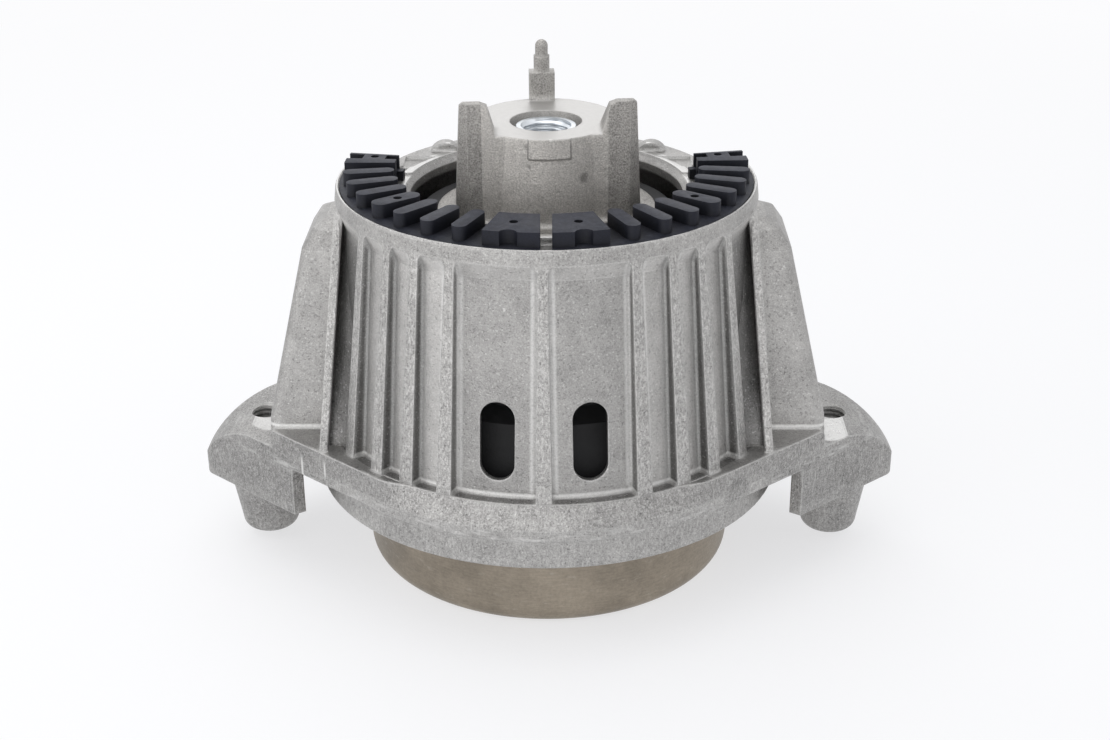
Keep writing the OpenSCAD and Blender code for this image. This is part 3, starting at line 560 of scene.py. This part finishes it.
def stop_plastic_finish(look):
    """Moulded dark plastic with painted shade where surfaces crowd in, lighter on top with dust
    and painted light.
    """
    colour = colour_of(look.ring_colour)
    f = Finish("stop_plastic", colour)
    place = f.place()
    up = f.axes(f.normal())[2]
    open_air = f.openness(6.0)
    grain = f.noise(place, 0.5, detail=3.0, roughness=0.6)
    bloom = f.noise(place, 8.0, detail=4.0, roughness=0.6)
    dust = f.ramp(f.noise(place, 2.2, detail=4.0, roughness=0.75), 0.45, 0.75)
    # Painted shade wherever other surfaces crowd in
    tone = (0.5 + bloom * 0.7 + (grain - 0.5) * 0.9) * (0.2 + f.ramp(open_air, 0.3, 1.0) * 0.8)
    # The tops lighter, with dust and painted light
    dust_and_top_light = f.ramp(up, 0.3, 1.0) * (0.16 + dust * 0.5) * f.ramp(open_air, 0.55, 0.97)
    f.set(Base_Color=f.blend(f.shaded(colour, tone), RING_DUST_AND_TOP_LIGHT, dust_and_top_light),
          Roughness=0.46 + bloom * 0.15, Specular_IOR_Level=0.26)
    f.relief(grain, 0.05)
    return f.material


def plate_alloy_finish():
    """Machined alloy of the channel plates."""
    f = Finish("plate_alloy", PLATE_ALLOY)
    grain = f.noise(f.place(), 0.8, detail=3.0)
    f.set(Base_Color=f.shaded(PLATE_ALLOY, 0.8 + grain * 0.4), Metallic=1.0,
          Roughness=0.42 + grain * 0.1)
    f.relief(grain, 0.05)
    return f.material


def pan_steel_finish(look):
    """Drawn sheet with an olive passivation that is rubbed thin in places."""
    colour = colour_of(look.pan_colour)
    f = Finish("pan_steel", colour)
    place = f.place()
    radius, angle, z = f.polar(place)
    round_it = angle * 50.0
    drawn = f.noise(f.joined(round_it, z * 6.0, radius), 3.0, detail=4.0, roughness=0.65)
    fine = f.noise(place, 0.8, detail=3.0, roughness=0.7)
    clouds = f.noise(place, 17.0, detail=3.0, distortion=0.5)
    rubbed = f.noise(f.joined(round_it, z * 2.5, radius), 4.0, detail=5.0, roughness=0.75)
    rubs = f.ramp(rubbed, 0.58, 0.72)
    olive = f.blend(f.shaded(colour, 0.85), f.shaded(colour, 1.15), f.ramp(clouds, 0.35, 0.65))
    skin = f.shaded(olive, 1.0 + (drawn - 0.5) * 0.5 + (fine - 0.5) * 0.5)
    f.set(Base_Color=f.blend(skin, WORN_PAN, rubs * 0.45), Metallic=1.0,
          Roughness=0.36 + clouds * 0.1 - rubs * 0.06)
    f.relief(drawn * 0.6 + fine * 0.4, 0.05)
    return f.material


# ---------------------------------------------------------------- settings


class MountLookSettings(bpy.types.PropertyGroup):
    """Colours and wear of the mount's surfaces."""

    housing_colour: bpy.props.FloatVectorProperty(
        name="Housing", description="Colour of the cast housing", subtype="COLOR", size=3,
        default=(0.352, 0.345, 0.336), min=0.0, max=1.0)
    core_colour: bpy.props.FloatVectorProperty(
        name="Core", description="Colour of the cast core", subtype="COLOR", size=3,
        default=(0.345, 0.332, 0.315), min=0.0, max=1.0)
    ring_colour: bpy.props.FloatVectorProperty(
        name="Stop ring", description="Colour of the moulded stop ring", subtype="COLOR", size=3,
        default=(0.0115, 0.0130, 0.0225), min=0.0, max=1.0)
    pan_colour: bpy.props.FloatVectorProperty(
        name="Pan", description="Colour of the passivated pan", subtype="COLOR", size=3,
        default=(0.275, 0.240, 0.194), min=0.0, max=1.0)
    nicks: bpy.props.FloatProperty(
        name="Nicks", description="How bright the small nicks on the castings are",
        subtype="FACTOR", default=0.8, min=0.0, max=1.0)
    crest_radius: bpy.props.FloatProperty(
        name="Crest radius", description="Radius that the castings' outer edges seem to have",
        subtype="DISTANCE", unit="LENGTH", default=0.7 * MM, min=0.2 * MM, max=3.0 * MM)
    corner_radius: bpy.props.FloatProperty(
        name="Corner radius", description="Radius that the castings' inner corners seem to have",
        subtype="DISTANCE", unit="LENGTH", default=2.0 * MM, min=0.2 * MM, max=5.0 * MM)


class MountRingSettings(bpy.types.PropertyGroup):
    """Rounding of the moulded stop ring."""

    edge: bpy.props.FloatProperty(
        name="Edge radius", description="Radius of the ring's moulded edges",
        subtype="DISTANCE", unit="LENGTH", default=0.8 * MM, min=0.1 * MM, max=1.2 * MM)
    steps: bpy.props.IntProperty(
        name="Edge steps", description="Facets across each rounded edge", default=3, min=1, max=6)


class MountThreadSettings(bpy.types.PropertyGroup):
    """Threads of the bush and the ears."""

    bush_pitch: bpy.props.FloatProperty(
        name="Bush pitch", description="Pitch of the thread in the bush",
        subtype="DISTANCE", unit="LENGTH", default=1.5 * MM, min=0.8 * MM, max=2.5 * MM)
    bush_depth: bpy.props.FloatProperty(
        name="Bush depth", description="Depth of the thread in the bush",
        subtype="DISTANCE", unit="LENGTH", default=0.75 * MM, min=0.3 * MM, max=1.2 * MM)
    ear_pitch: bpy.props.FloatProperty(
        name="Ear pitch", description="Pitch of the threads in the ears",
        subtype="DISTANCE", unit="LENGTH", default=1.5 * MM, min=0.8 * MM, max=2.5 * MM)
    ear_crest: bpy.props.FloatProperty(
        name="Ear crest", description="How far the ear threads stand in from the hole's wall",
        subtype="DISTANCE", unit="LENGTH", default=0.45 * MM, min=0.2 * MM, max=0.8 * MM)


class MountEarSettings(bpy.types.PropertyGroup):
    """How the ears and the fins run out of the body."""

    blend: bpy.props.FloatProperty(
        name="Blend", description="Angle round the flange over which an ear's side runs out",
        subtype="ANGLE", default=math.radians(11.0), min=math.radians(4.0), max=math.radians(20.0))
    fin_depth: bpy.props.FloatProperty(
        name="Fin depth", description="Depth of the groove beside the outermost fin",
        subtype="DISTANCE", unit="LENGTH", default=3.4 * MM, min=1.0 * MM, max=8.0 * MM)


class MountStageSettings(bpy.types.PropertyGroup):
    """Camera and lights."""

    lens: bpy.props.FloatProperty(
        name="Lens", description="Focal length of the camera, in millimetres",
        default=55.34, min=20.0, max=200.0)
    pitch: bpy.props.FloatProperty(
        name="Pitch", description="How far the camera looks down",
        subtype="ANGLE", default=math.radians(24.823))
    turn: bpy.props.FloatProperty(
        name="Turn", description="How far the camera stands round to the right",
        subtype="ANGLE", default=math.radians(1.1))
    roll: bpy.props.FloatProperty(
        name="Roll", description="How far the camera leans", subtype="ANGLE", default=-0.007386)
    white: bpy.props.FloatVectorProperty(
        name="White", description="Colour of the bright floor and air round the mount",
        subtype="COLOR", size=3, default=(0.972, 0.972, 0.985), min=0.0, max=1.0)
    daylight: bpy.props.FloatProperty(
        name="Daylight", description="Even light from all round", default=0.55, min=0.0, max=1.5)


# ---------------------------------------------------------------- mesh helpers


def put_in_scene(name, shape, material):
    """Turns a filled bmesh into an object of the scene."""
    mesh = bpy.data.meshes.new(name)
    shape.to_mesh(mesh)
    shape.free()
    mesh.materials.append(material)
    made = bpy.data.objects.new(name, mesh)
    bpy.context.scene.collection.objects.link(made)
    return made


def new_piece(name, shape, slot, *replaces):
    """Turns a filled bmesh into a piece of the mount that rides with it."""
    piece = put_in_scene(name, shape, bpy.data.materials[slot])
    if replaces:
        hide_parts(*replaces)
    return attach(piece, BODY)


def smooth(shape, sharp_degrees):
    """Turns all faces outwards and shades them smoothly, except over sharper edges."""
    bmesh.ops.recalc_face_normals(shape, faces=shape.faces)
    for face in shape.faces:
        face.smooth = True
    sharp = math.radians(sharp_degrees)
    for edge in shape.edges:
        edge.smooth = len(edge.link_faces) == 2 and edge.calc_face_angle(0.0) < sharp


def welded_copy(node_name):
    """A copy of a CAD node's mesh with its seams joined and its flat faces merged."""
    shape = bmesh.new()
    shape.from_mesh(NODES[node_name].data)
    bmesh.ops.remove_doubles(shape, verts=shape.verts, dist=0.002 * MM)
    bmesh.ops.dissolve_limit(shape, angle_limit=math.radians(1.0), verts=shape.verts,
                             edges=shape.edges, delimit=set())
    return shape


def soften_edges(piece, width, steps):
    """Rounds the piece's sharp edges."""
    bevel = piece.modifiers.new("moulded edges", "BEVEL")
    bevel.width = width
    bevel.segments = steps
    bevel.limit_method = "ANGLE"
    bevel.angle_limit = math.radians(35)
    bevel.harden_normals = True
    bevel.use_clamp_overlap = True


def bridge(shape, *loops):
    """Joins each loop of corners to the next with a closed belt of faces."""
    for first, second in zip(loops, loops[1:]):
        for i in range(len(first)):
            k = (i + 1) % len(first)
            shape.faces.new((first[i], second[i], second[k], first[k]))


def close_ends(shape, loops):
    """Joins a row of loops and puts a face on each end."""
    bridge(shape, *loops)
    shape.faces.new(loops[0])
    shape.faces.new(loops[-1])


def corner(shape, x, r, turn, z):
    """A corner at a radius and a part of a turn round an upright axis at the given x."""
    a = turn * math.tau
    return shape.verts.new((x + r * math.cos(a), r * math.sin(a), z))


def level_ring(shape, x, r, z, around=48):
    """A level circle of corners."""
    return [corner(shape, x, r, i / around, z) for i in range(around)]


def thread_wall(shape, x, wall_r, crest_r, pitch, low_z, high_z, around=48, across=6):
    """A helical thread wall round an upright axis, from low_z to high_z."""
    rows = max(2, round((high_z - low_z) / pitch * across))
    rings = []
    for j in range(rows + 1):
        z = low_z + (high_z - low_z) * j / rows
        ring = []
        for i in range(around):
            phase = ((z - low_z) / pitch - i / around) % 1.0
            tooth = max(0.0, 1.0 - abs(phase - 0.5) * 2.4)
            ring.append(corner(shape, x, wall_r + (crest_r - wall_r) * tooth, i / around, z))
        rings.append(ring)
    bridge(shape, *rings)
    return rings


# ---------------------------------------------------------------- operators


class MOUNT_OT_finish_solids(bpy.types.Operator):
    """Gives every solid its procedural finish"""

    bl_idname = "mount.finish_solids"
    bl_label = "Finish Solids"

    def execute(self, context):
        look = context.scene.mount_look
        solids = [(NODES[entry["node"]].data, entry["material_slot"])
                  for entry in frame["record"]["subparts"]]
        for mesh, _ in solids:
            mesh.materials.clear()
        for slot in {slot for _, slot in solids}:
            packed = bpy.data.materials.get(slot)
            if packed:
                bpy.data.materials.remove(packed)
        finishes = {
            "cast_housing": cast_housing_finish(look),
            "cast_core": cast_core_finish(look),
            "bright_steel": bright_steel_finish(),
            "plain_steel": plain_steel_finish(),
            "spring_rubber": rubber_finish("spring_rubber"),
            "soft_rubber": rubber_finish("soft_rubber"),
            "stop_plastic": stop_plastic_finish(look),
            "plate_alloy": plate_alloy_finish(),
            "pan_steel": pan_steel_finish(look),
        }
        for mesh, slot in solids:
            mesh.materials.append(finishes[slot])
        return {"FINISHED"}


class MOUNT_OT_round_stop_ring(bpy.types.Operator):
    """Rebuilds both halves of the stop ring with moulded edges"""

    bl_idname = "mount.round_stop_ring"
    bl_label = "Round Stop Ring"

    def execute(self, context):
        ring = context.scene.mount_ring
        for _, hand in SIDES:
            node = "stop_ring_" + hand
            piece = new_piece("moulded_ring_" + hand, welded_copy(node), "stop_plastic", node)
            for polygon in piece.data.polygons:
                polygon.use_smooth = True
            soften_edges(piece, ring.edge, ring.steps)
        return {"FINISHED"}


class MOUNT_OT_cut_threads(bpy.types.Operator):
    """Cuts the thread into the bush and lines the ear holes with theirs"""

    bl_idname = "mount.cut_threads"
    bl_label = "Cut Threads"

    def execute(self, context):
        thread = context.scene.mount_threads
        new_piece("threaded_bush", self.bush(thread), "bright_steel", "core_bush")
        for side, hand in SIDES:
            lining = self.ear_lining(thread, side * EAR_HOLE_X * MM)
            new_piece("ear_thread_" + hand, lining, "cast_housing")
        return {"FINISHED"}

    def bush(self, thread, around=72):
        """The bush with a thread down its bore and eased edges on top."""
        low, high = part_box("core_bush")
        outer_r, bore_r, ease = (high.x - low.x) / 2, BUSH_BORE_R * MM, BUSH_EASE * MM
        shape = bmesh.new()
        inner = thread_wall(shape, 0.0, bore_r + thread.bush_depth, bore_r, thread.bush_pitch,
                            low.z, high.z - ease, around, across=8)
        mouth = level_ring(shape, 0.0, bore_r + ease, high.z, around)
        lip = level_ring(shape, 0.0, outer_r - ease / 2, high.z, around)
        edge = level_ring(shape, 0.0, outer_r, high.z - ease / 2, around)
        foot = level_ring(shape, 0.0, outer_r, low.z, around)
        bridge(shape, inner[0], foot, edge, lip, mouth, inner[-1])
        smooth(shape, 32)
        return shape

    def ear_lining(self, thread, hole_x):
        """A closed threaded sleeve just inside the wall of an ear's hole."""
        hole_r, top_z = EAR_HOLE_R * MM, SEAT_Z * MM
        low_z = top_z - EAR_HOLE_DEPTH * MM
        wall_r = hole_r - 0.01 * MM
        shape = bmesh.new()
        rings = thread_wall(shape, hole_x, wall_r - 0.02 * MM, hole_r - thread.ear_crest,
                            thread.ear_pitch, low_z, top_z - 0.9 * MM)
        top = level_ring(shape, hole_x, wall_r, top_z - 0.6 * MM)
        low = level_ring(shape, hole_x, wall_r, low_z)
        bridge(shape, rings[0], low, top, rings[-1])
        smooth(shape, 35)
        return shape


class MOUNT_OT_blend_ears(bpy.types.Operator):
    """Runs the ears' upright sides smoothly out of the flange's slanted edge"""

    bl_idname = "mount.blend_ears"
    bl_label = "Blend Ears"

    def execute(self, context):
        reach = context.scene.mount_ears.blend
        for side, hand in SIDES:
            for face, end in ((-1, "front"), (1, "rear")):
                name = "ear_blend_%s_%s" % (hand, end)
                new_piece(name, self.wedge(side, face, reach), "cast_housing")
        return {"FINISHED"}

    def wedge(self, side, face, reach, columns=18):
        """Fills the step between the flange's slanted edge and an ear, its ends sunk in both."""
        shape = bmesh.new()
        loops = []
        for i in range(columns + 1):
            t = -0.2 + 1.4 * i / columns
            a = EAR_ANGLE - reach * (1.0 - t)
            right, out = side * math.sin(a) * MM, face * math.cos(a) * MM
            loops.append([shape.verts.new((r * right, r * out, z * MM))
                          for r, z in self.section(t)])
        close_ends(shape, loops)
        smooth(shape, 40)
        return shape

    def section(self, t, rows=6):
        """The wedge's closed outline as radii and heights, from 0 at its start to 1 at the ear."""
        rise = min(max(t, 0.0), 1.0)
        rise *= rise * (3.0 - 2.0 * rise)
        sunk = 0.05 - 3.0 * min(t, 0.0)
        outline = []
        for j in range(rows + 1):
            edge_r = FLANGE_R + (FLANGE_TOP_R - FLANGE_R) * j / rows
            z = FLANGE_BAND_Z + (FLANGE_TOP_Z - FLANGE_BAND_Z) * j / rows
            outline.append((edge_r + max(0.0, EAR_R - edge_r) * rise - sunk, z))
        back_r = FLANGE_TOP_R - 5.0
        return outline + [(FLANGE_TOP_R - 1.0, FLANGE_TOP_Z - 0.04), (back_r, FLANGE_TOP_Z - 1.0),
                          (back_r, FLANGE_BAND_Z)]


class MOUNT_OT_fill_fin_grooves(bpy.types.Operator):
    """Fills the deep grooves behind the outermost fins up to a shallow hollow"""

    bl_idname = "mount.fill_fin_grooves"
    bl_label = "Fill Fin Grooves"

    def execute(self, context):
        depth = context.scene.mount_ears.fin_depth / MM
        for side, hand in SIDES:
            new_piece("fin_web_" + hand, self.web(side, depth), "cast_housing")
        return {"FINISHED"}

    def web(self, side, depth, rows=12, columns=8):
        """A hollow strip from the last rib's root to the fin, with its back sunk in the wall."""
        shape = bmesh.new()
        loops = []
        low_z, high_z = FLANGE_TOP_Z - 0.5, BAND_Z - 4.5
        for j in range(rows + 1):
            z = low_z + (high_z - low_z) * j / rows
            risen = z - FLANGE_TOP_Z
            wall_r = WALL_LOW_R - risen * WALL_LEAN
            root = Vector((math.sin(LAST_RIB_ANGLE), -math.cos(LAST_RIB_ANGLE))) * wall_r
            fin = Vector((FIN_LOW_X - risen * FIN_LEAN_X, -FIN_LOW_Y + risen * FIN_LEAN_Y + depth))
            along = fin - root
            back = Vector((-along.y, along.x)).normalized()
            front = []
            for i in range(columns + 1):
                t = -0.12 + 1.27 * i / columns
                hollow = 0.8 - 3.2 * (t - 0.5) ** 2 if 0.0 <= t <= 1.0 else 0.0
                front.append(root + along * t + back * hollow)
            front[0] += back * 1.2
            rear = [point.normalized() * (wall_r - 1.5) for point in reversed(front)]
            loops.append([shape.verts.new((side * p.x * MM, p.y * MM, z * MM))
                          for p in front + rear])
        close_ends(shape, loops)
        smooth(shape, 40)
        return shape


class MOUNT_OT_set_stage(bpy.types.Operator):
    """Sets up the floor, the lights and the camera"""

    bl_idname = "mount.set_stage"
    bl_label = "Set Stage"

    def execute(self, context):
        stage = context.scene.mount_stage
        scene = context.scene
        scene.view_settings.view_transform = "Standard"
        self.floor(stage)
        self.air(scene, stage)
        self.lights(scene)
        self.camera(scene, stage)
        return {"FINISHED"}

    def floor(self, stage):
        """A white floor that shows as the air's white and keeps the mount's shadow."""
        white = colour_of(stage.white)
        f = Finish("studio_floor", white)
        f.set(Base_Color=(0.80, 0.80, 0.81), Roughness=0.9)
        matt = f.node("BsdfDiffuse", {}, {"Color": (0.40, 0.40, 0.405)})
        glow = f.node("Emission", {}, {"Color": white, "Strength": 0.63})
        near_by = f.node("AddShader", {}, {0: matt.outputs[0], 1: glow.outputs[0]})
        far_off = f.node("Emission", {}, {"Color": white, "Strength": 1.0})
        far = f.ramp(f.polar(f.place())[0], 300.0, 750.0)
        shown = f.node("MixShader", {}, {0: far, 1: near_by.outputs[0], 2: far_off.outputs[0]})
        both = f.node("MixShader", {}, {0: f.seen(), 1: f.shader.outputs[0], 2: shown.outputs[0]})
        f.feed(f.output.inputs["Surface"], both.outputs[0])
        shape = bmesh.new()
        bmesh.ops.create_grid(shape, x_segments=8, y_segments=8, size=3.0)
        floor = put_in_scene("studio_floor", shape, f.material)

    def air(self, scene, stage):
        """The same white all round, which lights the mount by its own, fainter measure."""
        world = bpy.data.worlds.new("studio_air")
        world.use_nodes = True
        n = Nodes(world.node_tree)
        light = n.node("Background", {}, {"Color": (0.96, 0.98, 1.0), "Strength": stage.daylight})
        white = n.node("Background", {}, {"Color": colour_of(stage.white), "Strength": 1.0})
        mix = n.node("MixShader", {}, {0: n.seen(), 1: light.outputs[0], 2: white.outputs[0]})
        n.node("OutputWorld", {}, {"Surface": mix.outputs[0]})
        scene.world = world

    def lights(self, scene):
        """Soft panels: most light from above and from the left."""
        panels = (
            ("overhead_panel", (-0.15, 0.05, 1.0), (1.2, 1.0), 3.6),
            ("left_panel", (-1.0, -0.45, 0.45), (0.9, 0.9), 2.6),
            ("front_panel", (-0.25, -1.25, 0.30), (1.4, 0.6), 3.0),
            ("right_panel", (1.0, -0.3, 0.5), (0.5, 0.8), 0.7),
            ("rear_panel", (-0.3, 1.0, 0.6), (1.2, 0.5), 1.4),
        )
        aim = Vector((0.0, 0.0, 0.08))
        for name, place, size, power in panels:
            light = bpy.data.lights.new(name, "AREA")
            light.shape = "RECTANGLE"
            light.size, light.size_y = size
            light.energy = power
            lamp = bpy.data.objects.new(name, light)
            lamp.location = place
            lamp.rotation_mode = "QUATERNION"
            lamp.rotation_quaternion = (aim - Vector(place)).to_track_quat("-Z", "Y")
            scene.collection.objects.link(lamp)

    def camera(self, scene, stage):
        """The photo's camera, aimed at the mount's axis."""
        data = bpy.data.cameras.new("photo_camera")
        data.lens = stage.lens
        data.sensor_width = 36.0
        data.shift_x = PICTURE_SHIFT
        data.clip_start, data.clip_end = 0.01, 20.0
        camera = bpy.data.objects.new("photo_camera", data)
        away, aim_z = CAMERA_AWAY * MM, (RIM_Z - AIM_BELOW_RIM) * MM
        back, up = away * math.cos(stage.pitch), away * math.sin(stage.pitch)
        about = Matrix.Rotation(stage.turn, 4, "Z")
        place = about @ Vector((0.0, -back, aim_z + up))
        tilt = Matrix.Rotation(math.pi / 2 - stage.pitch, 4, "X")
        lean = Matrix.Rotation(stage.roll, 4, "Z")
        camera.matrix_world = Matrix.Translation(place) @ about @ tilt @ lean
        scene.collection.objects.link(camera)
        scene.camera = camera


class MOUNT_PT_panel(bpy.types.Panel):
    """Lists the steps that dress the mount"""

    bl_idname = "MOUNT_PT_panel"
    bl_label = "Engine Mount"
    bl_space_type = "VIEW_3D"
    bl_region_type = "UI"
    bl_category = "Engine Mount"

    def draw(self, context):
        for name, kind in SETTINGS.items():
            box = self.layout.box()
            for key in kind.__annotations__:
                box.prop(getattr(context.scene, name), key)
        for operator in OPERATORS:
            self.layout.operator(operator.bl_idname)


SETTINGS = {
    "mount_look": MountLookSettings,
    "mount_ring": MountRingSettings,
    "mount_threads": MountThreadSettings,
    "mount_ears": MountEarSettings,
    "mount_stage": MountStageSettings,
}
OPERATORS = (
    MOUNT_OT_finish_solids,
    MOUNT_OT_round_stop_ring,
    MOUNT_OT_cut_threads,
    MOUNT_OT_blend_ears,
    MOUNT_OT_fill_fin_grooves,
    MOUNT_OT_set_stage,
)
CLASSES = (*SETTINGS.values(), *OPERATORS, MOUNT_PT_panel)


def register():
    """Makes the settings, the operators and the panel known."""
    for kind in CLASSES:
        bpy.utils.register_class(kind)
    for name, kind in SETTINGS.items():
        setattr(bpy.types.Scene, name, bpy.props.PointerProperty(type=kind))


def unregister():
    """Takes them all away again."""
    for name in SETTINGS:
        delattr(bpy.types.Scene, name)
    for kind in reversed(CLASSES):
        bpy.utils.unregister_class(kind)


def main():
    """Builds the looks of the mount."""
    register()
    bpy.ops.mount.finish_solids()
    bpy.ops.mount.round_stop_ring()
    bpy.ops.mount.cut_threads()
    bpy.ops.mount.blend_ears()
    bpy.ops.mount.fill_fin_grooves()
    bpy.ops.mount.set_stage()


if __name__ == "__main__":
    main()
